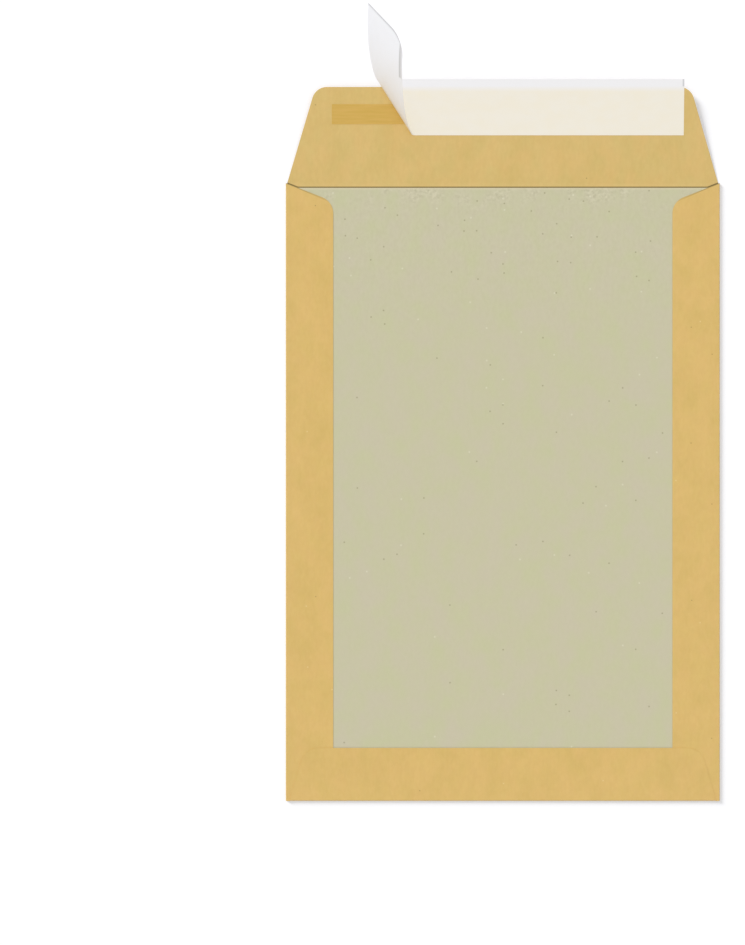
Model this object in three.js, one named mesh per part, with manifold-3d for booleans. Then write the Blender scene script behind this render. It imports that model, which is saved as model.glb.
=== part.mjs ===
// A board-backed envelope, format C4. One sheet of kraft paper is the front panel, two side
// flaps, a bottom flap and the closing flap, and a sheet of greyboard is the back. The
// envelope is empty and lies on its front panel, with the closing flap open and the release
// liner of its self-seal adhesive half peeled off.
// Millimetres, +Z up. The origin is the middle of the front panel's outer face, +Y points to
// the closing flap, and +X is to the right as seen from above.

import * as THREE from "three";
import { mergeVertices } from "three/addons/utils/BufferGeometryUtils.js";
import Module from "manifold-3d";

// Body
const bodyWidth = 229;
const bodyHeight = 324; // from the bottom fold to the crease of the closing flap
const shoulderRise = 2; // the side folds run on past the crease by this much
const paper = 0.15;
const pocketGap = 0.2; // between the front panel and the board
const boardThickness = 0.7;
const boardEdgeGap = 0.15; // from the board's edges to where the folds start to turn
const boardTopGap = 0.5; // from the board's upper edge to the crease

// Side flaps, folded over the board
const sideFlapWidth = 25;
const sideFlapSlope = 21.5; // of the upper end, in degrees
const sideCornerRadius = 9;

// Bottom flap, folded over the board and the side flaps
const bottomFlapHeight = 28;
const bottomFlapInset = 1.9; // its ends start this far inside the body's sides
const bottomFlapTaper = 16.3; // of its ends, in degrees
const bottomCornerRadius = 10;

// Closing flap, open and a little raised
const closingFlapLength = 52.3; // from the crease
const closingFlapTaper = 16.8; // of its sides, in degrees
const closingCornerRadius = 8;
const closingFlapLift = 3; // in degrees

// Seam glue
const seamFilm = 0.05;
const seamInset = 4; // from the edges of the flap and the board that it joins
const stepClearance = 0.3; // between the thick part of the bottom film and the side flaps

// Bottom corners
const cornerLap = 0.3; // of the side folds' ends into the ends of the bottom fold

// Self-seal adhesive on the closing flap
const adhesiveWidth = 10.4;
const adhesiveThickness = 0.1;
const adhesiveInset = 9; // from the closing flap's free edge
const adhesiveEndInset = 8.5; // from the corners of the free edge

// Release liner
const linerThickness = 0.07;
const linerLip = 4; // past the closing flap's free edge
const linerSkirt = 5.8; // past the adhesive's lower edge
const linerEndLip = 5.1; // past the adhesive's right end
const linerStuckLength = 143.3; // along its lower edge, from the right end to the peel line
const linerTailLength = 67.7; // along its lower edge, from the peel line to the left end
const peelSlope = 60.7; // of the line it is peeled back to, in degrees from its lower edge
const peelBendRun = 1.5; // along the lower edge, where it turns up
const peelBend = 75.3; // in degrees
const peelCurl = 34.8; // the rest of its turn, spread along the tail, in degrees
const layerClearance = 0.02; // between the flap, the adhesive and the liner

// How finely the curves are divided
const foldSegments = 10;
const cornerSegments = 10;
const bendSteps = 14;
const curlSteps = 28;

const radians = THREE.MathUtils.degToRad;

// Worked out from the sizes above
const bodyHalf = bodyWidth / 2;
const bottomEdge = -bodyHeight / 2;
const crease = bodyHeight / 2;
const shoulder = crease + shoulderRise;
const boardUnder = paper + pocketGap;
const boardTop = boardUnder + boardThickness;
const sideFlapUnder = boardTop + seamFilm;
const sideFlapTop = sideFlapUnder + paper;
const bottomFlapUnder = sideFlapTop + seamFilm;
const bottomFlapTop = bottomFlapUnder + paper;
const sideFoldRadius = sideFlapTop / 2;
const bottomFoldRadius = bottomFlapTop / 2;
const panelHalf = bodyHalf - sideFoldRadius;
const panelBottom = bottomEdge + bottomFoldRadius;
const boardHalf = panelHalf - boardEdgeGap;
const boardBottom = panelBottom + boardEdgeGap;
const sideFlapEdge = bodyHalf - sideFlapWidth;
const sideFlapDrop = sideFlapWidth * Math.tan(radians(sideFlapSlope));
const bottomFlapEdge = bottomEdge + bottomFlapHeight;
const bottomRootHalf = bodyHalf - bottomFlapInset;
const bottomNarrowing = bottomFlapHeight * Math.tan(radians(bottomFlapTaper));
const bottomTipHalf = bottomRootHalf - bottomNarrowing;
const cornerStart = bottomRootHalf - cornerLap;
const closingReach = closingFlapLength - shoulderRise;
const closingNarrowing = closingReach * Math.tan(radians(closingFlapTaper));
const closingTipHalf = panelHalf - closingNarrowing;
const adhesiveHalf = closingTipHalf - adhesiveEndInset;
const linerWidth = linerLip + adhesiveInset + adhesiveWidth + linerSkirt;
const overlap = 2; // by which pieces of one sheet run into each other before they are joined

const wasm = await Module();
wasm.setup();

// A closed geometry as a solid that can be joined, cut and intersected.
function solidOf(geometry) {
  const bare = geometry.clone();
  bare.deleteAttribute("normal");
  bare.deleteAttribute("uv");
  const merged = mergeVertices(bare, 1e-4);
  const vertProperties = merged.attributes.position.array;
  const triVerts = new Uint32Array(merged.index.array);
  return new wasm.Manifold(new wasm.Mesh({ numProp: 3, vertProperties, triVerts }));
}

// A solid back as a geometry with flat-shaded faces.
function geometryOf(solid) {
  const mesh = solid.getMesh();
  const indexed = new THREE.BufferGeometry();
  indexed.setAttribute("position", new THREE.BufferAttribute(mesh.vertProperties, 3));
  indexed.setIndex(new THREE.BufferAttribute(mesh.triVerts, 1));
  const geometry = indexed.toNonIndexed();
  geometry.computeVertexNormals();
  return geometry;
}

// A closed outline through corners [x, y] or [x, y, radius of the corner].
function outline(corners) {
  const shape = new THREE.Shape();
  corners.forEach(([x, y, radius], i) => {
    if (!radius) {
      if (i === 0) shape.moveTo(x, y);
      else shape.lineTo(x, y);
      return;
    }
    const corner = new THREE.Vector2(x, y);
    const [lastX, lastY] = corners.at(i - 1);
    const [nextX, nextY] = corners[(i + 1) % corners.length];
    const back = new THREE.Vector2(lastX, lastY).sub(corner).normalize();
    const ahead = new THREE.Vector2(nextX, nextY).sub(corner).normalize();
    const halfAngle = Math.acos(back.dot(ahead)) / 2;
    const inward = back.clone().add(ahead).normalize();
    const centre = corner.clone().addScaledVector(inward, radius / Math.sin(halfAngle));
    const tangent = radius / Math.tan(halfAngle);
    const start = corner.clone().addScaledVector(back, tangent).sub(centre);
    const end = corner.clone().addScaledVector(ahead, tangent).sub(centre);
    const clockwise = back.cross(ahead) > 0;
    shape.absarc(centre.x, centre.y, radius, start.angle(), end.angle(), clockwise);
  });
  return shape;
}

// A plan outline raised from one height to another.
function prism(shape, from, to) {
  const geometry = new THREE.ExtrudeGeometry(shape, {
    depth: to - from,
    bevelEnabled: false,
    curveSegments: cornerSegments,
  });
  return geometry.translate(0, 0, from);
}

// A section drawn in X and Z, run along Y.
function runAlongY(shape, from, to) {
  const geometry = new THREE.ExtrudeGeometry(shape, {
    depth: to - from,
    bevelEnabled: false,
    curveSegments: foldSegments,
  });
  return geometry.rotateX(Math.PI / 2).translate(0, to, 0);
}

// A section drawn in Y and Z, run along X and centred.
function runAlongX(shape, width) {
  const geometry = new THREE.ExtrudeGeometry(shape, {
    depth: width,
    bevelEnabled: false,
    curveSegments: foldSegments,
  });
  const turn = new THREE.Matrix4().makeBasis(
    new THREE.Vector3(0, 1, 0),
    new THREE.Vector3(0, 0, 1),
    new THREE.Vector3(1, 0, 0),
  );
  return geometry.applyMatrix4(turn).translate(-width / 2, 0, 0);
}

function namedMesh(name, geometry, colour, roughness) {
  const material = new THREE.MeshStandardMaterial({ color: colour, roughness, metalness: 0 });
  const mesh = new THREE.Mesh(geometry, material);
  mesh.name = name;
  return mesh;
}

// Section across the body: the front panel, a half-round fold at each side, both side flaps.
function acrossTheBody() {
  const inner = sideFoldRadius - paper;
  const up = Math.PI / 2;
  const shape = new THREE.Shape();
  shape.moveTo(-panelHalf, 0);
  shape.absarc(panelHalf, sideFoldRadius, sideFoldRadius, -up, up, false);
  shape.lineTo(sideFlapEdge, sideFlapTop);
  shape.lineTo(sideFlapEdge, sideFlapUnder);
  shape.absarc(panelHalf, sideFoldRadius, inner, up, -up, true);
  shape.absarc(-panelHalf, sideFoldRadius, inner, -up, -3 * up, true);
  shape.lineTo(-sideFlapEdge, sideFlapUnder);
  shape.lineTo(-sideFlapEdge, sideFlapTop);
  shape.absarc(-panelHalf, sideFoldRadius, sideFoldRadius, up, 3 * up, false);
  return shape;
}

// Plan of a side flap, with its sloping upper end. Side is 1 at the right and -1 at the left.
function sideFlapPlan(side) {
  return outline([
    [side * (bodyHalf + overlap), bottomEdge - overlap],
    [side * (bodyHalf + overlap), shoulder],
    [side * bodyHalf, shoulder],
    [side * sideFlapEdge, shoulder - sideFlapDrop, sideCornerRadius],
    [side * sideFlapEdge, panelBottom],
    [side * cornerStart, panelBottom],
    [side * cornerStart, bottomEdge - overlap],
  ]);
}

// The body without its bottom fold, which the side folds run past to fill the corners. Above
// the height of the folds' middle only what lies in the side flaps' plans is kept.
function foldedBody() {
  const tube = solidOf(runAlongY(acrossTheBody(), bottomEdge, shoulder));
  const below = outline([
    [-bodyHalf - overlap, bottomEdge - overlap],
    [-cornerStart, bottomEdge - overlap],
    [-cornerStart, panelBottom],
    [cornerStart, panelBottom],
    [cornerStart, bottomEdge - overlap],
    [bodyHalf + overlap, bottomEdge - overlap],
    [bodyHalf + overlap, shoulder],
    [-bodyHalf - overlap, shoulder],
  ]);
  const kept = solidOf(prism(below, -overlap, sideFoldRadius))
    .add(solidOf(prism(sideFlapPlan(1), sideFoldRadius - paper, sideFlapTop + overlap)))
    .add(solidOf(prism(sideFlapPlan(-1), sideFoldRadius - paper, sideFlapTop + overlap)));
  return tube.intersect(kept);
}

// The bottom fold and the bottom flap, with its tapering ends.
function foldedBottom() {
  const inner = bottomFoldRadius - paper;
  const up = Math.PI / 2;
  const section = new THREE.Shape();
  section.moveTo(panelBottom + overlap, 0);
  section.lineTo(panelBottom + overlap, paper);
  section.absarc(panelBottom, bottomFoldRadius, inner, -up, -3 * up, true);
  section.lineTo(bottomFlapEdge, bottomFlapUnder);
  section.lineTo(bottomFlapEdge, bottomFlapTop);
  section.absarc(panelBottom, bottomFoldRadius, bottomFoldRadius, up, 3 * up, false);
  const plan = outline([
    [-bottomRootHalf, bottomEdge],
    [bottomRootHalf, bottomEdge],
    [bottomTipHalf, bottomFlapEdge, bottomCornerRadius],
    [-bottomTipHalf, bottomFlapEdge, bottomCornerRadius],
  ]);
  const strip = solidOf(runAlongX(section, 2 * panelHalf));
  return strip.intersect(solidOf(prism(plan, -overlap, bottomFlapTop + overlap)));
}

// The closing flap turns about the line between the shoulders. What lies on it is placed in
// this group, whose XY plane is the flap's outer face.
const closingFlap = new THREE.Group();
closingFlap.position.set(0, shoulder, 0);
closingFlap.rotation.x = radians(closingFlapLift);
closingFlap.updateMatrix();

function raisedFlap() {
  const lift = radians(closingFlapLift);
  const endY = shoulder + closingReach * Math.cos(lift);
  const endZ = closingReach * Math.sin(lift);
  const section = outline([
    [shoulder - overlap, 0],
    [shoulder, 0],
    [endY, endZ],
    [endY - paper * Math.sin(lift), endZ + paper * Math.cos(lift)],
    [shoulder - paper * Math.tan(lift / 2), paper],
    [shoulder - overlap, paper],
  ]);
  const plan = outline([
    [-panelHalf, -2 * overlap],
    [panelHalf, -2 * overlap],
    [panelHalf, 0],
    [closingTipHalf, closingReach, closingCornerRadius],
    [-closingTipHalf, closingReach, closingCornerRadius],
    [-panelHalf, 0],
  ]);
  const cutter = prism(plan, -overlap, paper + overlap).applyMatrix4(closingFlap.matrix);
  return solidOf(runAlongX(section, 2 * panelHalf)).intersect(solidOf(cutter));
}

function kraftSheet() {
  const sheet = foldedBody().add(foldedBottom()).add(raisedFlap());
  return namedMesh("kraft_sheet", geometryOf(sheet), 0xdbba78, 0.85);
}

// Greyboard back, inside the folds.
function backBoard() {
  const height = crease - boardTopGap - boardBottom;
  const geometry = new THREE.BoxGeometry(2 * boardHalf, height, boardThickness);
  const mesh = namedMesh("back_board", geometry, 0xcac6a7, 0.95);
  mesh.position.set(0, boardBottom + height / 2, boardUnder + boardThickness / 2);
  return mesh;
}

// Glue film between a side flap and the board.
function sideSeam(name, side) {
  const width = boardHalf - sideFlapEdge - 2 * seamInset;
  const bottom = boardBottom + seamInset;
  const height = shoulder - sideFlapDrop - sideCornerRadius - bottom;
  const geometry = new THREE.BoxGeometry(width, height, seamFilm);
  const mesh = namedMesh(name, geometry, 0xe6e1cf, 0.5);
  const middle = (boardHalf + sideFlapEdge) / 2;
  mesh.position.set(side * middle, bottom + height / 2, boardTop + seamFilm / 2);
  return mesh;
}

// Glue film under the bottom flap. It is thick where it reaches down to the board between the
// side flaps, and thin over the side flaps.
function bottomSeam() {
  const half = bottomTipHalf - seamInset;
  const step = sideFlapEdge - stepClearance;
  const section = outline([
    [-step, boardTop],
    [step, boardTop],
    [step, sideFlapTop],
    [half, sideFlapTop],
    [half, bottomFlapUnder],
    [-half, bottomFlapUnder],
    [-half, sideFlapTop],
    [-step, sideFlapTop],
  ]);
  const geometry = runAlongY(section, boardBottom + seamInset, bottomFlapEdge - seamInset);
  return namedMesh("seam_glue_bottom", geometry, 0xe6e1cf, 0.5);
}

// Self-seal adhesive on the closing flap's inner face.
function adhesiveStrip() {
  const geometry = new THREE.BoxGeometry(2 * adhesiveHalf, adhesiveWidth, adhesiveThickness);
  const mesh = namedMesh("adhesive_strip", geometry, 0xd1ac59, 0.35);
  const middle = closingReach - adhesiveInset - adhesiveWidth / 2;
  mesh.position.set(0, middle, paper + layerClearance + adhesiveThickness / 2);
  return mesh;
}

// Lines straight across the liner, from its right end to its cut left end. The liner turns
// about each of them by an angle. In the tail they fan out from the peel line to the cut end,
// and they lie further and further apart, so that the tail gets straighter.
function linerLines() {
  const lines = [{ along: 0, slope: 90, turn: 0 }];
  for (let i = 0; i < bendSteps; i++) {
    const past = (peelBendRun * i) / bendSteps;
    lines.push({ past, turn: peelBend / bendSteps });
  }
  const rest = linerTailLength - peelBendRun;
  for (let i = 0; i <= curlSteps; i++) {
    const past = peelBendRun + rest * (i / curlSteps) ** 2;
    lines.push({ past, turn: i < curlSteps ? peelCurl / curlSteps : 0 });
  }
  for (const line of lines.slice(1)) {
    line.along = linerStuckLength + line.past;
    line.slope = peelSlope + ((90 - peelSlope) * line.past) / linerTailLength;
  }
  return lines;
}

// The liner is bent about one line after another. Each line gives four corners of the strip:
// the glue side's lower and upper corner, then the back's upper and lower corner.
function releaseLiner() {
  const right = adhesiveHalf + linerEndLip;
  const under = paper + layerClearance + adhesiveThickness + layerClearance;
  const lower = closingReach + linerLip - linerWidth;
  const placed = new THREE.Matrix4();
  const turned = new THREE.Matrix4();
  const corners = [];
  for (const line of linerLines()) {
    const x = right - line.along;
    const lean = linerWidth / Math.tan(radians(line.slope));
    const start = new THREE.Vector3(x, lower, under).applyMatrix4(placed);
    const end = new THREE.Vector3(x - lean, lower + linerWidth, under).applyMatrix4(placed);
    const axis = end.clone().sub(start).normalize();
    const halfTurn = radians(line.turn) / 2;
    const normal = new THREE.Vector3(0, 0, 1)
      .transformDirection(placed)
      .applyAxisAngle(axis, halfTurn)
      .multiplyScalar(linerThickness / Math.cos(halfTurn));
    corners.push(start, end, end.clone().add(normal), start.clone().add(normal));
    turned.makeTranslation(start.x, start.y, start.z);
    turned.multiply(new THREE.Matrix4().makeRotationAxis(axis, 2 * halfTurn));
    turned.multiply(new THREE.Matrix4().makeTranslation(-start.x, -start.y, -start.z));
    placed.premultiply(turned);
  }
  const faces = [0, 1, 3, 1, 2, 3];
  for (let first = 0; first + 4 < corners.length; first += 4) {
    for (let side = 0; side < 4; side++) {
      const here = first + side;
      const beside = first + ((side + 1) % 4);
      faces.push(here, here + 4, beside, beside, here + 4, beside + 4);
    }
  }
  const last = corners.length - 4;
  faces.push(last, last + 3, last + 1, last + 3, last + 2, last + 1);
  const geometry = new THREE.BufferGeometry().setFromPoints(corners);
  geometry.setIndex(faces);
  geometry.computeVertexNormals();
  return namedMesh("release_liner", geometry, 0xf0ebdd, 0.45);
}

closingFlap.add(adhesiveStrip(), releaseLiner());

const group = new THREE.Group();
group.add(
  kraftSheet(),
  backBoard(),
  sideSeam("seam_glue_left", -1),
  sideSeam("seam_glue_right", 1),
  bottomSeam(),
  closingFlap,
);

export default group;
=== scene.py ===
"""A board-backed envelope, seen from its board side, with its closing flap open.

Metres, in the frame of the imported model: +Y towards the closing flap, +Z up.
"""

import math

import bpy
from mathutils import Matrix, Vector


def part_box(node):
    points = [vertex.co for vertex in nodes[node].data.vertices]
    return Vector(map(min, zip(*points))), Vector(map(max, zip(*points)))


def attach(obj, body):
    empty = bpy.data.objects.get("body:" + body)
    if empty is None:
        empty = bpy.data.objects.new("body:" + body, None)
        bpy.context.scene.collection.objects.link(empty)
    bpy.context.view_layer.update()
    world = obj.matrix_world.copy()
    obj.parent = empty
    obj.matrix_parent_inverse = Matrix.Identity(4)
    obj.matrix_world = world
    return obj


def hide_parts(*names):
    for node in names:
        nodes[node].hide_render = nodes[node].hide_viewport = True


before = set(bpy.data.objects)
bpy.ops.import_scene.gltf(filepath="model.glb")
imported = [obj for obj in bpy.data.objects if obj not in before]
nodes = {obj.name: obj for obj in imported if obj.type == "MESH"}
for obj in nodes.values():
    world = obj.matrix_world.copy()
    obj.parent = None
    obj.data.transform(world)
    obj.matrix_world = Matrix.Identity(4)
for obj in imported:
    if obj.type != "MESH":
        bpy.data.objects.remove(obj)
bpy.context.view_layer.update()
scene = bpy.context.scene


# Kraft sheet
# One die-cut sheet of manila kraft paper of 120 g/m2. It is the front panel and the flaps, and
# it is folded by machine along creases and glued over the board at the sides and the bottom.

SHOULDER = 0.164  # Y of the ends of the side folds, where the closing flap turns
FLAP_END_SLOPE = math.radians(21.5)  # of the side flaps' upper ends
CREASE_SHADE = (0.00075, 0.00095)  # past the board's edge: where the painted shade in the crease fades and ends
CREASE_HIGHLIGHT = (0.0016, 0.0028)  # the same for the painted highlight, a paler band, beside the crease
CREASE_HIGHLIGHT_SHARE = 0.1  # of its own colour in that painted highlight
END_SHADE = (0.0002, 0.0005)  # the same for the thin painted shade line along a side flap's upper end
END_SHADE_START = 0.094  # from the middle: where that line starts beside the board,
END_SHADE_MEETS = 0.11  # where it meets the flap's end,
END_SHADE_FOLD = 0.112  # and where it reaches the fold
END_SHADE_GAP = 0.0006  # between the line's start and the flap's end
END_SHADE_SHARE = (0.25, 0.8)  # of its own colour at its start and at the fold

MM_IN_METRE = 1000
PATCH_NOISE = {"Scale": 1.0, "Detail": 2.0, "Roughness": 0.55}
PATCH_EDGE = (0.35, 0.65)  # of that noise: where a patch begins and is full
SPECK_EDGE = (1.5, 0.4)  # times a speck's radius: where it begins and is full
SPECK_SHARE = 0.65  # of its own colour where it is full


def linear(colour):
    """An sRGB hex colour as the linear colour that a shader takes."""
    parts = [int(colour[i : i + 2], 16) / 255 for i in (0, 2, 4)]
    return [p / 12.92 if p <= 0.04045 else ((p + 0.055) / 1.055) ** 2.4 for p in parts] + [1]


def add(tree, kind, inputs=None, **settings):
    """Adds a node. Each of its inputs is a value, or the output or the node that feeds it."""
    node = tree.nodes.new(kind)
    for name, value in settings.items():
        setattr(node, name, value)
    for socket, value in (inputs or {}).items():
        if isinstance(value, bpy.types.Node):
            value = next(output for output in value.outputs if output.enabled)
        if isinstance(value, bpy.types.NodeSocket):
            tree.links.new(value, node.inputs[socket])
        else:
            node.inputs[socket].default_value = value
    return node


def new_material(name):
    """An empty material, its node tree, and the place on the piece in metres."""
    material = bpy.data.materials.new(name)
    material.use_nodes = True
    tree = material.node_tree
    tree.nodes.clear()
    place = add(tree, "ShaderNodeTexCoord").outputs["Object"]
    return material, tree, place


def mottle(tree, place, below, colour, share, across, along, seed=0):
    """Lays soft patches of a colour over what is below, and gives their height too. Their size
    is in mm."""
    scale = (MM_IN_METRE / across, MM_IN_METRE / along, MM_IN_METRE / across)
    at = {"Vector": place, "Scale": scale, "Location": (seed, 0, 0)}
    at = add(tree, "ShaderNodeMapping", at)
    noise = add(tree, "ShaderNodeTexNoise", {"Vector": at, **PATCH_NOISE})
    cover = {"Value": noise, "From Min": PATCH_EDGE[0], "From Max": PATCH_EDGE[1]}
    cover = add(tree, "ShaderNodeMapRange", {**cover, "To Max": share})
    tones = {0: cover, 6: below, 7: linear(colour)}
    return add(tree, "ShaderNodeMix", tones, data_type="RGBA"), noise


def specks(tree, place, below, colour, share, spacing, size):
    """Scatters specks of a colour over what is below. Their mean spacing and size are in mm."""
    cells = {"Vector": place, "Scale": MM_IN_METRE / spacing}
    cell = add(tree, "ShaderNodeTexVoronoi", cells, voronoi_dimensions="2D")
    radius = size / spacing / 2
    dot = {"From Min": SPECK_EDGE[0] * radius, "From Max": SPECK_EDGE[1] * radius}
    dot = add(tree, "ShaderNodeMapRange", {"Value": cell, **dot, "To Max": SPECK_SHARE})
    parts = add(tree, "ShaderNodeSeparateColor", {0: cell.outputs["Color"]})
    kept = add(tree, "ShaderNodeMath", {0: parts, 1: share}, operation="LESS_THAN")
    cover = add(tree, "ShaderNodeMath", {0: dot, 1: kept}, operation="MULTIPLY")
    tones = {0: cover, 6: below, 7: linear(colour)}
    return add(tree, "ShaderNodeMix", tones, data_type="RGBA")


def beyond_the_crease(tree, place):
    """How far a point lies past the edge where the board and the side flaps' ends stop, how far
    it lies below the line of those ends, and how far from the middle."""
    half_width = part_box("kraft_sheet")[1].x
    rise = math.tan(FLAP_END_SLOPE)
    xyz = add(tree, "ShaderNodeSeparateXYZ", {0: place}).outputs
    out = add(tree, "ShaderNodeMath", {0: xyz[0]}, operation="ABSOLUTE")
    end = {0: out, 1: rise, 2: SHOULDER - half_width * rise}
    end = add(tree, "ShaderNodeMath", end, operation="MULTIPLY_ADD")
    stop = {0: end, 1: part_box("back_board")[1].y}
    stop = add(tree, "ShaderNodeMath", stop, operation="MAXIMUM")
    past = add(tree, "ShaderNodeMath", {0: xyz[1], 1: stop}, operation="SUBTRACT")
    below_end = add(tree, "ShaderNodeMath", {0: end, 1: xyz[1]}, operation="SUBTRACT")
    return past, below_end, out


def kraft_paper():
    """Machine-finished manila kraft: matt and even, a little cloudy, with short fibres that lie
    mostly along the web and sparse faint specks of bark."""
    material, tree, place = new_material("manila_kraft_paper_machine_finished")
    normal = add(tree, "ShaderNodeTexCoord").outputs["Normal"]
    up = add(tree, "ShaderNodeSeparateXYZ", {0: normal}).outputs[2]
    past, below_end, out = beyond_the_crease(tree, place)
    opened = add(tree, "ShaderNodeMath", {0: past, 1: 0.0}, operation="GREATER_THAN")
    facing = add(tree, "ShaderNodeMath", {0: up, 1: 0.5}, operation="GREATER_THAN")
    inside = add(tree, "ShaderNodeMath", {0: opened, 1: facing}, operation="MULTIPLY")
    sides = {0: inside, 6: linear("dab96f"), 7: linear("d5ba75")}
    colour = add(tree, "ShaderNodeMix", sides, data_type="RGBA")
    colour, _ = mottle(tree, place, colour, "cdae64", share=0.35, across=14, along=22)
    colour, _ = mottle(tree, place, colour, "e4ba78", share=0.35, across=10, along=14, seed=4)
    colour, fibre = mottle(tree, place, colour, "ecd196", share=0.08, across=1.3, along=4, seed=9)
    colour, grain = mottle(
        tree, place, colour, "b9935a", share=0.08, across=2.4, along=3.4, seed=2
    )
    colour = specks(tree, place, colour, "8f7644", share=0.06, spacing=11, size=0.6)
    colour = specks(tree, place, colour, "ecd49c", share=0.10, spacing=13, size=0.7)

    # Painted shade: a dark line in the crease between the board's edge and the closing flap, with
    # a painted highlight, a paler band, beside it.
    crease_highlight = {"Value": past, "From Min": CREASE_HIGHLIGHT[1], "From Max": CREASE_HIGHLIGHT[0]}
    crease_highlight = add(tree, "ShaderNodeMapRange", {**crease_highlight, "To Max": CREASE_HIGHLIGHT_SHARE})
    crease_highlight = add(tree, "ShaderNodeMath", {0: crease_highlight, 1: opened}, operation="MULTIPLY")
    colour = {0: crease_highlight, 6: colour, 7: linear("ecd196")}
    colour = add(tree, "ShaderNodeMix", colour, data_type="RGBA")
    line = {"Value": past, "From Min": CREASE_SHADE[1], "From Max": CREASE_SHADE[0]}
    line = add(tree, "ShaderNodeMapRange", line)
    line = add(tree, "ShaderNodeMath", {0: line, 1: opened}, operation="MULTIPLY")
    colour = {0: line, 6: colour, 7: linear("8c7a4c")}
    colour = add(tree, "ShaderNodeMix", colour, data_type="RGBA")

    # Painted shade: a thin dark line follows each side flap's upper end from its fold to the
    # board, where it is fainter and a little below the flap's end.
    away = {"Value": out, "From Min": END_SHADE_START, "From Max": END_SHADE_MEETS}
    away = add(tree, "ShaderNodeMapRange", {**away, "To Min": END_SHADE_GAP, "To Max": 0.0})
    away = add(tree, "ShaderNodeMath", {0: below_end, 1: away}, operation="SUBTRACT")
    end_shade = {"Value": away, "From Min": END_SHADE[1], "From Max": END_SHADE[0]}
    end_shade = add(tree, "ShaderNodeMapRange", end_shade)
    faint = {"Value": out, "From Min": END_SHADE_START, "From Max": END_SHADE_FOLD}
    faint = {**faint, "To Min": END_SHADE_SHARE[0], "To Max": END_SHADE_SHARE[1]}
    faint = add(tree, "ShaderNodeMapRange", faint)
    end_shade = add(tree, "ShaderNodeMath", {0: end_shade, 1: faint}, operation="MULTIPLY")
    lower = add(tree, "ShaderNodeMath", {0: 1.0, 1: opened}, operation="SUBTRACT")
    end_shade = add(tree, "ShaderNodeMath", {0: end_shade, 1: lower}, operation="MULTIPLY")
    colour = {0: end_shade, 6: colour, 7: linear("9c8650")}
    colour = add(tree, "ShaderNodeMix", colour, data_type="RGBA")

    relief = add(tree, "ShaderNodeMath", {0: fibre, 1: grain}, operation="ADD")
    bump = add(tree, "ShaderNodeBump", {"Height": relief, "Distance": 0.00006, "Strength": 0.2})
    finish = {"Base Color": colour, "Normal": bump, "Roughness": 0.85, "Specular IOR Level": 0.25}
    shader = add(tree, "ShaderNodeBsdfPrincipled", finish)
    add(tree, "ShaderNodeOutputMaterial", {"Surface": shader})
    return material


def dress(piece, material):
    """Gives a piece this one material."""
    piece.data.materials.clear()
    piece.data.materials.append(material)


dress(nodes["kraft_sheet"], kraft_paper())


# Greyboard back
# A plain sheet of greyboard of 450 g/m2, pressed from waste paper and cut to size. It lies
# loose in the folds of the kraft sheet until the side and bottom flaps are glued on to it.

ROUGH_FROM = (0.08, 0.13)  # Y between which the pulp gets rougher towards the upper edge
ROUGH = (0.04, 0.09)  # share of rough pulp below and above
SPECKLED_FROM = (0.06, 0.13)  # the same for the specks in it
SPECKLED = (0.05, 0.16)
FRINGE = (0.015, 0.004)  # below the upper edge: where loose fibres begin and are densest
FRINGE_SHARE = 0.4
CLUSTER = (0.45, 0.62)  # of a cloud's height: where those fibres begin and are densest
RIM_HIGHLIGHT = (0.0012, 0.0008)  # below the upper edge: where the painted highlight along it begins and is full
RIM_HIGHLIGHT_SHARE = 0.5


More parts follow.
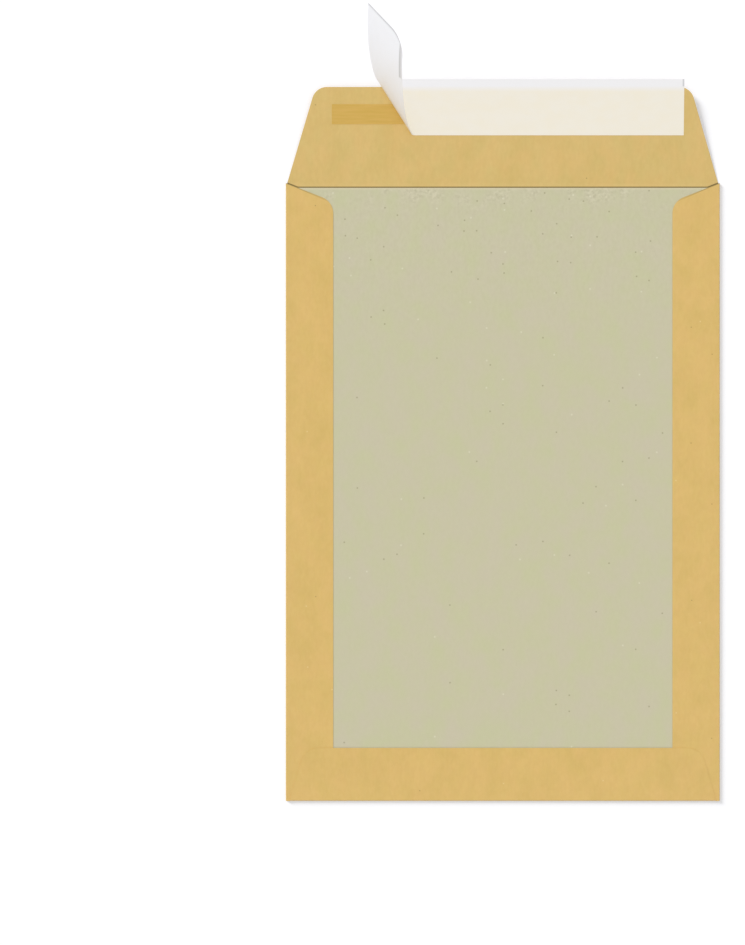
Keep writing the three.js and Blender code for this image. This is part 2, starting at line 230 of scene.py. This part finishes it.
def greyboard():
    """Recycled board: matt, with faint bluish and yellowish clouds, and flecks of half-pulped
    fibre, light and dark, that lie closer towards its upper edge."""
    material, tree, place = new_material("greyboard_recycled_pressed")
    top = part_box("back_board")[1].y
    height = add(tree, "ShaderNodeSeparateXYZ", {0: place}).outputs[1]
    rough = {"Value": height, "From Min": ROUGH_FROM[0], "From Max": ROUGH_FROM[1]}
    rough = add(tree, "ShaderNodeMapRange", {**rough, "To Min": ROUGH[0], "To Max": ROUGH[1]})
    speckled = {"Value": height, "From Min": SPECKLED_FROM[0], "From Max": SPECKLED_FROM[1]}
    speckled = {**speckled, "To Min": SPECKLED[0], "To Max": SPECKLED[1]}
    speckled = add(tree, "ShaderNodeMapRange", speckled)
    fringe = {"Value": height, "From Min": top - FRINGE[0], "From Max": top - FRINGE[1]}
    fringe = add(tree, "ShaderNodeMapRange", {**fringe, "To Max": FRINGE_SHARE})
    pulp = linear("c8c4a4")
    colour, _ = mottle(tree, place, pulp, "c4c79b", share=0.45, across=11, along=15)
    colour, patch = mottle(tree, place, colour, "cbc0af", share=0.4, across=13, along=17, seed=3)
    patch = {"Value": patch, "From Min": CLUSTER[0], "From Max": CLUSTER[1]}
    patch = add(tree, "ShaderNodeMapRange", patch)
    fringe = add(tree, "ShaderNodeMath", {0: fringe, 1: patch}, operation="MULTIPLY")
    colour, _ = mottle(tree, place, colour, "a29d7b", fringe, across=1.3, along=1.9, seed=1)
    colour, _ = mottle(tree, place, colour, "e6e1c4", fringe, across=1.6, along=1.3, seed=8)
    colour, pulp = mottle(tree, place, colour, "b3ad89", rough, across=1.7, along=3, seed=7)
    colour, fleck = mottle(tree, place, colour, "dfdcc2", rough, across=1.4, along=2.4, seed=5)
    colour = specks(tree, place, colour, "8f8867", speckled, spacing=7, size=0.8)
    colour = specks(tree, place, colour, "dedbc3", speckled, spacing=9, size=0.9)

    # Painted highlight: a paler line along the board's cut upper edge, as if that edge caught the
    # light.
    rim_highlight = {"Value": height, "From Min": top - RIM_HIGHLIGHT[0], "From Max": top - RIM_HIGHLIGHT[1]}
    rim_highlight = add(tree, "ShaderNodeMapRange", {**rim_highlight, "To Max": RIM_HIGHLIGHT_SHARE})
    rim_highlight = {0: rim_highlight, 6: colour, 7: linear("d8cdac")}
    colour = add(tree, "ShaderNodeMix", rim_highlight, data_type="RGBA")
    relief = add(tree, "ShaderNodeMath", {0: pulp, 1: fleck}, operation="ADD")
    bump = add(tree, "ShaderNodeBump", {"Height": relief, "Distance": 0.00008, "Strength": 0.2})
    finish = {"Base Color": colour, "Normal": bump, "Roughness": 0.95, "Specular IOR Level": 0.2}
    shader = add(tree, "ShaderNodeBsdfPrincipled", finish)
    add(tree, "ShaderNodeOutputMaterial", {"Surface": shader})
    return material


dress(nodes["back_board"], greyboard())


# Seam glue
# Films of dispersion glue, rolled on wet and dried almost clear. They hold the two side flaps
# and the bottom flap to the board, and only their edges can be seen, from the sides.


def dried_glue():
    """Dried dispersion glue: a smooth off-white film with a soft gloss, in streaks."""
    material, tree, place = new_material("dispersion_glue_dried")
    film = linear("e6e1cf")
    colour, streak = mottle(tree, place, film, "d8cfb2", share=0.6, across=1.5, along=12)
    bump = add(tree, "ShaderNodeBump", {"Height": streak, "Distance": 0.00003, "Strength": 0.5})
    finish = {"Base Color": colour, "Normal": bump, "Roughness": 0.4, "Specular IOR Level": 0.5}
    shader = add(tree, "ShaderNodeBsdfPrincipled", finish)
    add(tree, "ShaderNodeOutputMaterial", {"Surface": shader})
    return material


glue = dried_glue()
for seam in ("seam_glue_left", "seam_glue_right", "seam_glue_bottom"):
    dress(nodes[seam], glue)


# Adhesive strip
# A band of self-seal rubber adhesive, coated on to the closing flap's inner side. It shows
# at the left end, where the liner has been peeled off it.


def rubber_adhesive():
    """Pressure-sensitive rubber adhesive: an even ochre coat with a tacky sheen and fine
    lines from the coating roller along it."""
    material, tree, place = new_material("rubber_adhesive_roller_coated")
    coat = linear("cba54b")
    colour, lines = mottle(tree, place, coat, "d6ae5c", share=0.5, across=16, along=1.2)
    bump = add(tree, "ShaderNodeBump", {"Height": lines, "Distance": 0.00003, "Strength": 0.4})
    finish = {"Base Color": colour, "Normal": bump, "Roughness": 0.38, "Specular IOR Level": 0.4}
    shader = add(tree, "ShaderNodeBsdfPrincipled", finish)
    add(tree, "ShaderNodeOutputMaterial", {"Surface": shader})
    return material


dress(nodes["adhesive_strip"], rubber_adhesive())


# Release liner
# A strip of glassine paper, siliconised on the side that covers the adhesive. It has been
# peeled back from its left end to a slanting line, and its tail stands up and curls over.

STRIP = {
    "Right End": 0.09529,
    "Lower Edge": 0.0251,  # from the shoulder line, in the flap's plane
    "Height": 0.00029,  # of its siliconised side over the flap's outer face
    "Width": 0.0292,
    "Stuck Length": 0.1415,
    "Tail Length": 0.0635,
    "Peel Slope": math.radians(56.0),  # of the first line of the bend
    "Bend Slope": math.radians(58.2),  # of its last line
    "Cut Slope": math.radians(81.0),  # of the cut end
    "Bend Run": 0.0028,
    "Bend": math.radians(84.1),
    "Curl": math.radians(32.2),
    "Corner": 0.0099,  # radius of the cut end's lower corner
    "Shoulder": SHOULDER,
    "Lift": math.radians(3),
}
LINE_SIZES = (
    "Width",
    "Stuck Length",
    "Tail Length",
    "Bend Run",
    "Peel Slope",
    "Bend Slope",
    "Cut Slope",
)
STRIP_THICKNESS = 0.00007
STUCK_STEPS = 12
BEND_STEPS = 24
CURL_STEPS = 48
CORNER_START = 0.7  # share of the curl's lines after which the corner draws back
ROWS = 25
SHARP_EDGE = math.radians(40)

LIP = 0.004  # of the liner past the closing flap's free edge
THROUGH = (0.0005, -0.0025)  # past that edge: where none and all of the flap's painted show-through is
LEAVING = (0.009, 0.004)  # past the peel line: the same for the tail
SHADED_FOOT = 0.012  # length of the tail's foot, which has painted shade and is a little greyer
EDGE_SHADE = (0.0031, 0.0023)  # from the lower edge: where its painted grey shade line begins and is full
EDGE_SHADE_FADE = 0.0022  # from the lower edge: within this the line gets paler again,
EDGE_SHADE_PALE = 0.15  # down to this share at the edge itself
EDGE_SHADE_START = (0.0425, 0.0435)  # past the peel line, along and across added: its start
EDGE_SHADE_CUT = (0.0015, 0.0004)  # from the cut end: where that end's grey line begins, is full
EDGE_SHADE_RIGHT = (0.0011, 0.0004)  # from the right end: the same
EDGE_SHADE_LIP = 0.0005  # past the flap's edge: where the right end's line is full


def fold_lines():
    """Node group: where line number Line crosses the strip's lower edge, and how far it leans
    over to the upper edge. Line 0 is the peel line, and lines below it are in the stuck part.
    The lines of the curl lie further and further apart, so the tail gets straighter."""
    tree = bpy.data.node_groups.new("fold_lines", "GeometryNodeTree")
    face = tree.interface
    for name in ("Line", *LINE_SIZES):
        face.new_socket(name, in_out="INPUT", socket_type="NodeSocketFloat")
    for name in ("Along", "Lean"):
        face.new_socket(name, in_out="OUTPUT", socket_type="NodeSocketFloat")
    given = add(tree, "NodeGroupInput").outputs
    line = given["Line"]
    stuck = {"From Min": -STUCK_STEPS, "From Max": 0, "To Max": given["Stuck Length"]}
    stuck = {"Value": line, **stuck}
    stuck = add(tree, "ShaderNodeMapRange", stuck)
    bend = {"Value": line, "From Max": BEND_STEPS, "To Max": given["Bend Run"]}
    bend = add(tree, "ShaderNodeMapRange", bend)
    curl = {"Value": line, "From Min": BEND_STEPS, "From Max": BEND_STEPS + CURL_STEPS}
    curl = add(tree, "ShaderNodeMapRange", curl)
    curl = add(tree, "ShaderNodeMath", {0: curl, 1: curl}, operation="MULTIPLY")
    rest = {0: given["Tail Length"], 1: given["Bend Run"]}
    rest = add(tree, "ShaderNodeMath", rest, operation="SUBTRACT")
    past = add(tree, "ShaderNodeMath", {0: curl, 1: rest, 2: bend}, operation="MULTIPLY_ADD")
    along = add(tree, "ShaderNodeMath", {0: stuck, 1: past}, operation="ADD")
    slope = {"To Min": given["Peel Slope"], "To Max": given["Bend Slope"]}
    slope = add(tree, "ShaderNodeMapRange", {"Value": line, "From Max": BEND_STEPS, **slope})
    slope = {"From Max": given["Tail Length"], "To Min": slope, "To Max": given["Cut Slope"]}
    slope = {"Value": past, "From Min": given["Bend Run"], **slope}
    slope = add(tree, "ShaderNodeMapRange", slope)
    slope = {"From Min": -STUCK_STEPS, "From Max": 0, "To Min": math.pi / 2, "To Max": slope}
    slope = add(tree, "ShaderNodeMapRange", {"Value": line, **slope})
    slope = add(tree, "ShaderNodeMath", {0: slope}, operation="TANGENT")
    lean = add(tree, "ShaderNodeMath", {0: given["Width"], 1: slope}, operation="DIVIDE")
    add(tree, "NodeGroupOutput", {"Along": along, "Lean": lean})
    return tree


def peeled_strip(material):
    """Node tree: a flat strip, bent about one fold line after another, from the cut end to the
    peel line, and laid on the raised flap."""
    lines = fold_lines()
    tree = bpy.data.node_groups.new("peeled_strip", "GeometryNodeTree")
    face = tree.interface
    face.new_socket("Geometry", in_out="INPUT", socket_type="NodeSocketGeometry")
    for name in STRIP:
        face.new_socket(name, in_out="INPUT", socket_type="NodeSocketFloat")
    face.new_socket("Geometry", in_out="OUTPUT", socket_type="NodeSocketGeometry")
    given = add(tree, "NodeGroupInput").outputs
    sizes = {name: given[name] for name in LINE_SIZES}

    # The flat strip: one column of points on each line, from the right end to the cut end.
    columns = STUCK_STEPS + BEND_STEPS + CURL_STEPS + 1
    grid = add(tree, "GeometryNodeMeshGrid", {"Vertices X": columns, "Vertices Y": ROWS})
    index = add(tree, "GeometryNodeInputIndex")
    column = add(tree, "ShaderNodeMath", {0: index, 1: ROWS}, operation="DIVIDE")
    column = add(tree, "ShaderNodeMath", {0: column}, operation="FLOOR")
    number = add(tree, "ShaderNodeMath", {0: column, 1: STUCK_STEPS}, operation="SUBTRACT")
    row = add(tree, "ShaderNodeMath", {0: index, 1: ROWS}, operation="FLOORED_MODULO")
    share = add(tree, "ShaderNodeMath", {0: row, 1: ROWS - 1}, operation="DIVIDE")
    share = add(tree, "ShaderNodeMath", {0: share, 1: share}, operation="MULTIPLY")
    here = add(tree, "GeometryNodeGroup", {"Line": number, **sizes}, node_tree=lines).outputs
    across = add(tree, "ShaderNodeMath", {0: share, 1: given["Width"]}, operation="MULTIPLY")
    x = {0: given["Right End"], 1: here["Along"]}
    x = add(tree, "ShaderNodeMath", x, operation="SUBTRACT")
    aside = add(tree, "ShaderNodeMath", {0: share, 1: here["Lean"]}, operation="MULTIPLY")
    x = add(tree, "ShaderNodeMath", {0: x, 1: aside}, operation="SUBTRACT")

    # The lower corner of the cut end is round: the last columns draw back by its arc.
    radius = given["Corner"]
    inset = {0: radius, 1: across}
    inset = add(tree, "ShaderNodeMath", inset, operation="SUBTRACT")
    inset = add(tree, "ShaderNodeMath", {0: inset, 1: 0.0}, operation="MAXIMUM")
    inset = add(tree, "ShaderNodeMath", {0: inset, 1: radius}, operation="DIVIDE")
    inset = add(tree, "ShaderNodeMath", {0: inset}, operation="ARCSINE")
    drawn = add(tree, "ShaderNodeMath", {0: inset}, operation="COSINE")
    drawn = add(tree, "ShaderNodeMath", {0: 1.0, 1: drawn}, operation="SUBTRACT")
    drawn = add(tree, "ShaderNodeMath", {0: drawn, 1: radius}, operation="MULTIPLY")
    last = {"Value": number, "From Min": BEND_STEPS + CORNER_START * CURL_STEPS}
    last["From Max"] = BEND_STEPS + CURL_STEPS
    last = add(tree, "ShaderNodeMapRange", last)
    x = add(tree, "ShaderNodeMath", {0: drawn, 1: last, 2: x}, operation="MULTIPLY_ADD")
    y = add(tree, "ShaderNodeMath", {0: given["Lower Edge"], 1: across}, operation="ADD")
    flat = add(tree, "ShaderNodeCombineXYZ", {0: x, 1: y, 2: given["Height"]})
    laid = add(tree, "GeometryNodeSetPosition", {"Geometry": grid, "Position": flat})

    # Place along and across the strip, in metres, for its finish.
    chart = add(tree, "ShaderNodeCombineXYZ", {0: here["Along"], 1: across})
    held = add(tree, "GeometryNodeCaptureAttribute", {"Geometry": laid})
    held.capture_items.new("VECTOR", "Chart")
    tree.links.new(chart.outputs[0], held.inputs["Chart"])
    stored = {"Geometry": held.outputs[0], "Name": "UVMap", "Value": held.outputs["Chart"]}
    charted = add(
        tree, "GeometryNodeStoreNamedAttribute", stored, data_type="FLOAT2", domain="CORNER"
    )

    # Each round of the zone turns all that lies past one line about that line.
    begin = add(tree, "GeometryNodeRepeatInput")
    end = add(tree, "GeometryNodeRepeatOutput")
    begin.pair_with_output(end)
    begin.inputs["Iterations"].default_value = BEND_STEPS + CURL_STEPS
    tree.links.new(charted.outputs[0], begin.inputs["Geometry"])
    turning = {0: BEND_STEPS + CURL_STEPS - 1, 1: begin.outputs["Iteration"]}
    turning = add(tree, "ShaderNodeMath", turning, operation="SUBTRACT")
    line = add(tree, "GeometryNodeGroup", {"Line": turning, **sizes}, node_tree=lines).outputs
    foot = {0: given["Right End"], 1: line["Along"]}
    foot = add(tree, "ShaderNodeMath", foot, operation="SUBTRACT")
    foot = {0: foot, 1: given["Lower Edge"], 2: given["Height"]}
    foot = add(tree, "ShaderNodeCombineXYZ", foot)
    back = add(tree, "ShaderNodeMath", {0: line["Lean"], 1: -1.0}, operation="MULTIPLY")
    axis = add(tree, "ShaderNodeCombineXYZ", {0: back, 1: given["Width"]})
    bend = {0: given["Bend"], 1: BEND_STEPS}
    bend = add(tree, "ShaderNodeMath", bend, operation="DIVIDE")
    curl = {0: given["Curl"], 1: CURL_STEPS}
    curl = add(tree, "ShaderNodeMath", curl, operation="DIVIDE")
    in_bend = {0: turning, 1: BEND_STEPS}
    in_bend = add(tree, "ShaderNodeMath", in_bend, operation="LESS_THAN")
    turn = {"Value": in_bend, "To Min": curl, "To Max": bend}
    turn = add(tree, "ShaderNodeMapRange", turn)
    spot = add(tree, "GeometryNodeInputPosition")
    turned = {"Vector": spot, "Center": foot, "Axis": axis, "Angle": turn}
    turned = add(tree, "ShaderNodeVectorRotate", turned, rotation_type="AXIS_ANGLE")
    past = add(tree, "ShaderNodeMath", {0: number, 1: turning}, operation="GREATER_THAN")
    moved = {"Geometry": begin.outputs["Geometry"], "Selection": past, "Position": turned}
    moved = add(tree, "GeometryNodeSetPosition", moved)
    tree.links.new(moved.outputs[0], end.inputs["Geometry"])

    lift = add(tree, "ShaderNodeCombineXYZ", {0: given["Lift"]})
    hinge = add(tree, "ShaderNodeCombineXYZ", {1: given["Shoulder"]})
    raised = {"Geometry": end.outputs["Geometry"], "Translation": hinge, "Rotation": lift}
    raised = add(tree, "GeometryNodeTransform", raised)
    facing = add(tree, "GeometryNodeFlipFaces", {0: raised})
    smooth = add(tree, "GeometryNodeSetShadeSmooth", {0: facing})
    real = add(tree, "GeometryNodeRealizeInstances", {0: smooth})
    coated = add(tree, "GeometryNodeSetMaterial", {"Geometry": real, "Material": material})
    add(tree, "NodeGroupOutput", {"Geometry": coated})
    return tree


def glassine():
    """Glassine: dense, smooth paper that was rolled glossy. A little of what lies behind it would
    show through, and that is painted into its colour: creamy over the kraft flap and whiter past
    the flap's edge. Both sides of the strip have this finish."""
    material, tree, _ = new_material("glassine_back_side")
    chart = add(tree, "ShaderNodeUVMap", uv_map="UVMap")
    along, across, _ = add(tree, "ShaderNodeSeparateXYZ", {0: chart}).outputs
    edge = STRIP["Width"] - LIP
    over_flap = {"Value": across, "From Min": edge + THROUGH[0], "From Max": edge + THROUGH[1]}
    over_flap = add(tree, "ShaderNodeMapRange", over_flap)
    peel = STRIP["Stuck Length"]
    stuck = {"Value": along, "From Min": peel + LEAVING[0], "From Max": peel + LEAVING[1]}
    stuck = add(tree, "ShaderNodeMapRange", stuck)
    behind = add(tree, "ShaderNodeMath", {0: over_flap, 1: stuck}, operation="MULTIPLY")
    # Painted shade: the tail's foot and the strip past the flap's edge are a little greyer than
    # the rest of the tail.
    far = {"Value": along, "From Min": peel, "From Max": peel + SHADED_FOOT}
    far = add(tree, "ShaderNodeMapRange", far)
    tone = {0: far, 6: linear("f0eff0"), 7: linear("f6f7fb")}
    tone = add(tree, "ShaderNodeMix", tone, data_type="RGBA")
    tone = {0: behind, 6: tone, 7: linear("f0e9d8")}
    tone = add(tree, "ShaderNodeMix", tone, data_type="RGBA")

    # Painted shade: where its edges stand clear of the flap, a grey line runs along them, as if
    # they were rolled a little.
    end = peel + STRIP["Tail Length"]
    lower = {"Value": across, "From Min": EDGE_SHADE[0], "From Max": EDGE_SHADE[1]}
    lower = add(tree, "ShaderNodeMapRange", lower)
    fade = {"Value": across, "From Max": EDGE_SHADE_FADE, "To Min": EDGE_SHADE_PALE}
    fade = add(tree, "ShaderNodeMapRange", fade)
    lower = add(tree, "ShaderNodeMath", {0: lower, 1: fade}, operation="MULTIPLY")
    tail = add(tree, "ShaderNodeMath", {0: along, 1: across}, operation="ADD")
    start = {"From Min": peel + EDGE_SHADE_START[0], "From Max": peel + EDGE_SHADE_START[1]}
    tail = add(tree, "ShaderNodeMapRange", {"Value": tail, **start})
    lower = add(tree, "ShaderNodeMath", {0: lower, 1: tail}, operation="MULTIPLY")
    cut = {"Value": along, "From Min": end - EDGE_SHADE_CUT[0], "From Max": end - EDGE_SHADE_CUT[1]}
    cut = add(tree, "ShaderNodeMapRange", cut)
    lip = {"Value": across, "From Min": edge, "From Max": edge + EDGE_SHADE_LIP}
    lip = add(tree, "ShaderNodeMapRange", lip)
    right = {"Value": along, "From Min": EDGE_SHADE_RIGHT[0], "From Max": EDGE_SHADE_RIGHT[1]}
    right = add(tree, "ShaderNodeMapRange", right)
    right = add(tree, "ShaderNodeMath", {0: right, 1: lip}, operation="MULTIPLY")
    edge_shade = add(tree, "ShaderNodeMath", {0: lower, 1: cut}, operation="MAXIMUM")
    edge_shade = add(tree, "ShaderNodeMath", {0: edge_shade, 1: right}, operation="MAXIMUM")
    tone = {0: edge_shade, 6: tone, 7: linear("c9c9cb")}
    tone = add(tree, "ShaderNodeMix", tone, data_type="RGBA")
    tone, height = mottle(tree, chart, tone, "f0f0f1", share=0.15, across=9, along=6)
    bump = add(tree, "ShaderNodeBump", {"Height": height, "Distance": 0.00003, "Strength": 0.3})
    finish = {"Base Color": tone, "Normal": bump, "Roughness": 0.45, "Specular IOR Level": 0.3}
    shader = add(tree, "ShaderNodeBsdfPrincipled", finish)
    add(tree, "ShaderNodeOutputMaterial", {"Surface": shader})
    return material


def peeled_liner(paper):
    """The strip as a plain mesh, with its thickness on the back, away from the adhesive."""
    seed = bpy.data.objects.new("liner_seed", bpy.data.meshes.new("liner_seed"))
    scene.collection.objects.link(seed)
    bending = seed.modifiers.new("peel", "NODES")
    bending.node_group = peeled_strip(paper)
    for item in bending.node_group.interface.items_tree:
        if item.in_out == "INPUT" and item.name in STRIP:
            bending[item.identifier] = STRIP[item.name]
    wall = seed.modifiers.new("thickness", "SOLIDIFY")
    wall.thickness = STRIP_THICKNESS
    wall.offset = 1
    evaluated = seed.evaluated_get(bpy.context.evaluated_depsgraph_get())
    mesh = bpy.data.meshes.new_from_object(evaluated)
    seed.modifiers.clear()
    bpy.data.objects.remove(seed)
    mesh.name = "peeled_liner"
    mesh.set_sharp_from_angle(angle=SHARP_EDGE)
    piece = bpy.data.objects.new("peeled_liner", mesh)
    scene.collection.objects.link(piece)
    return piece


release_paper = glassine()
liner = peeled_liner(release_paper)
dress(liner, release_paper)
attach(liner, "root")
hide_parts("release_liner")


# Floor
# A white table, wide enough to fill the picture. It is plain white apart from the envelope's
# short shadow.

TABLE_HALF = 4.0  # of its width
TABLE_DROP = 0.00002  # just under the front panel, which lies on it
TABLE_GLOW = 0.15


def shown(tree):
    """1 where the camera sees it, itself or by gloss or glass, and 0 where it only lights."""
    ray = add(tree, "ShaderNodeLightPath").outputs
    seen = {0: ray["Is Camera Ray"], 1: ray["Is Glossy Ray"]}
    seen = add(tree, "ShaderNodeMath", seen, operation="MAXIMUM")
    seen = {0: seen, 1: ray["Is Transmission Ray"]}
    return add(tree, "ShaderNodeMath", seen, operation="MAXIMUM")


def white_table():
    """Matt white, a little brighter to the camera than its light makes it, so that it is plain
    white wherever nothing shades it."""
    material, tree, _ = new_material("white_table")
    diffuse = add(tree, "ShaderNodeBsdfDiffuse", {"Color": [0.88, 0.88, 0.9, 1]})
    strength = {0: shown(tree), 1: TABLE_GLOW}
    strength = add(tree, "ShaderNodeMath", strength, operation="MULTIPLY")
    glow = add(tree, "ShaderNodeEmission", {"Strength": strength})
    both = add(tree, "ShaderNodeAddShader", {0: diffuse, 1: glow})
    add(tree, "ShaderNodeOutputMaterial", {"Surface": both})
    return material


corners = [(-1, -1), (1, -1), (1, 1), (-1, 1)]
corners = [(TABLE_HALF * x, TABLE_HALF * y, -TABLE_DROP) for x, y in corners]
floor_mesh = bpy.data.meshes.new("floor")
floor_mesh.from_pydata(corners, [], [(0, 1, 2, 3)])
floor = bpy.data.objects.new("floor", floor_mesh)
scene.collection.objects.link(floor)
dress(floor, white_table())


# Light
# An even white room, and two large soft lamps on the upper left. The lower one lights only the
# table, for the short shadow beside the envelope, and the higher one lights the envelope.

ROOM_LIGHT = 0.67
LAMP_SHARE = 0.33  # of the light on a level surface
LAMP_SIZE = math.radians(23)
LAMP_BEARING = math.radians(38)  # of its light, from +X towards the bottom fold
TABLE_LAMP_RISE = math.radians(20)
ENVELOPE_LAMP_RISE = math.radians(45)

# The thin liner and the coat of adhesive throw no shadow of their own in this light.
screened = bpy.data.collections.new("lamp_blockers")
for piece in (liner, nodes["adhesive_strip"]):
    screened.objects.link(piece)
for blocker in screened.collection_objects:
    blocker.light_linking.link_state = "EXCLUDE"


def soft_lamp(name, elevation, table):
    """A large lamp far away. The table is the only thing that it lights, or the only one that it
    doesn't: INCLUDE or EXCLUDE."""
    data = bpy.data.lights.new(name, "SUN")
    data.energy = LAMP_SHARE * math.pi / math.sin(elevation)
    data.angle = LAMP_SIZE
    lamp = bpy.data.objects.new(name, data)
    scene.collection.objects.link(lamp)
    level = math.cos(elevation)
    travel = (math.cos(LAMP_BEARING) * level, -math.sin(LAMP_BEARING) * level)
    travel = Vector((*travel, -math.sin(elevation)))
    lamp.rotation_euler = travel.to_track_quat("-Z", "Y").to_euler()
    lit = bpy.data.collections.new(name + "_receivers")
    lit.objects.link(floor)
    lit.collection_objects[0].light_linking.link_state = table
    lamp.light_linking.receiver_collection = lit
    lamp.light_linking.blocker_collection = screened


soft_lamp("table_lamp", TABLE_LAMP_RISE, "INCLUDE")
soft_lamp("envelope_lamp", ENVELOPE_LAMP_RISE, "EXCLUDE")

room = bpy.data.worlds.new("white_room")
room.use_nodes = True
room.node_tree.nodes.clear()
brightness = {"Value": shown(room.node_tree), "To Min": ROOM_LIGHT, "To Max": 1.0}
brightness = add(room.node_tree, "ShaderNodeMapRange", brightness)
sky = {"Color": [1, 1, 1, 1], "Strength": brightness}
sky = add(room.node_tree, "ShaderNodeBackground", sky)
add(room.node_tree, "ShaderNodeOutputWorld", {"Surface": sky})
scene.world = room
scene.view_settings.view_transform = "Standard"


# Camera
# Straight above the table. The envelope lies to the right of the middle of the picture.

CAMERA_PLACE = (-0.06878, 0.01128, 0.700)
PICTURE_HEIGHT = 0.4994  # of the table that the picture shows, from top to bottom
SENSOR_HEIGHT = 36  # mm

camera_data = bpy.data.cameras.new("camera")
camera_data.sensor_fit = "VERTICAL"
camera_data.sensor_height = SENSOR_HEIGHT
camera_data.lens = SENSOR_HEIGHT * CAMERA_PLACE[2] / PICTURE_HEIGHT
camera = bpy.data.objects.new("camera", camera_data)
camera.location = CAMERA_PLACE
scene.collection.objects.link(camera)
scene.camera = camera
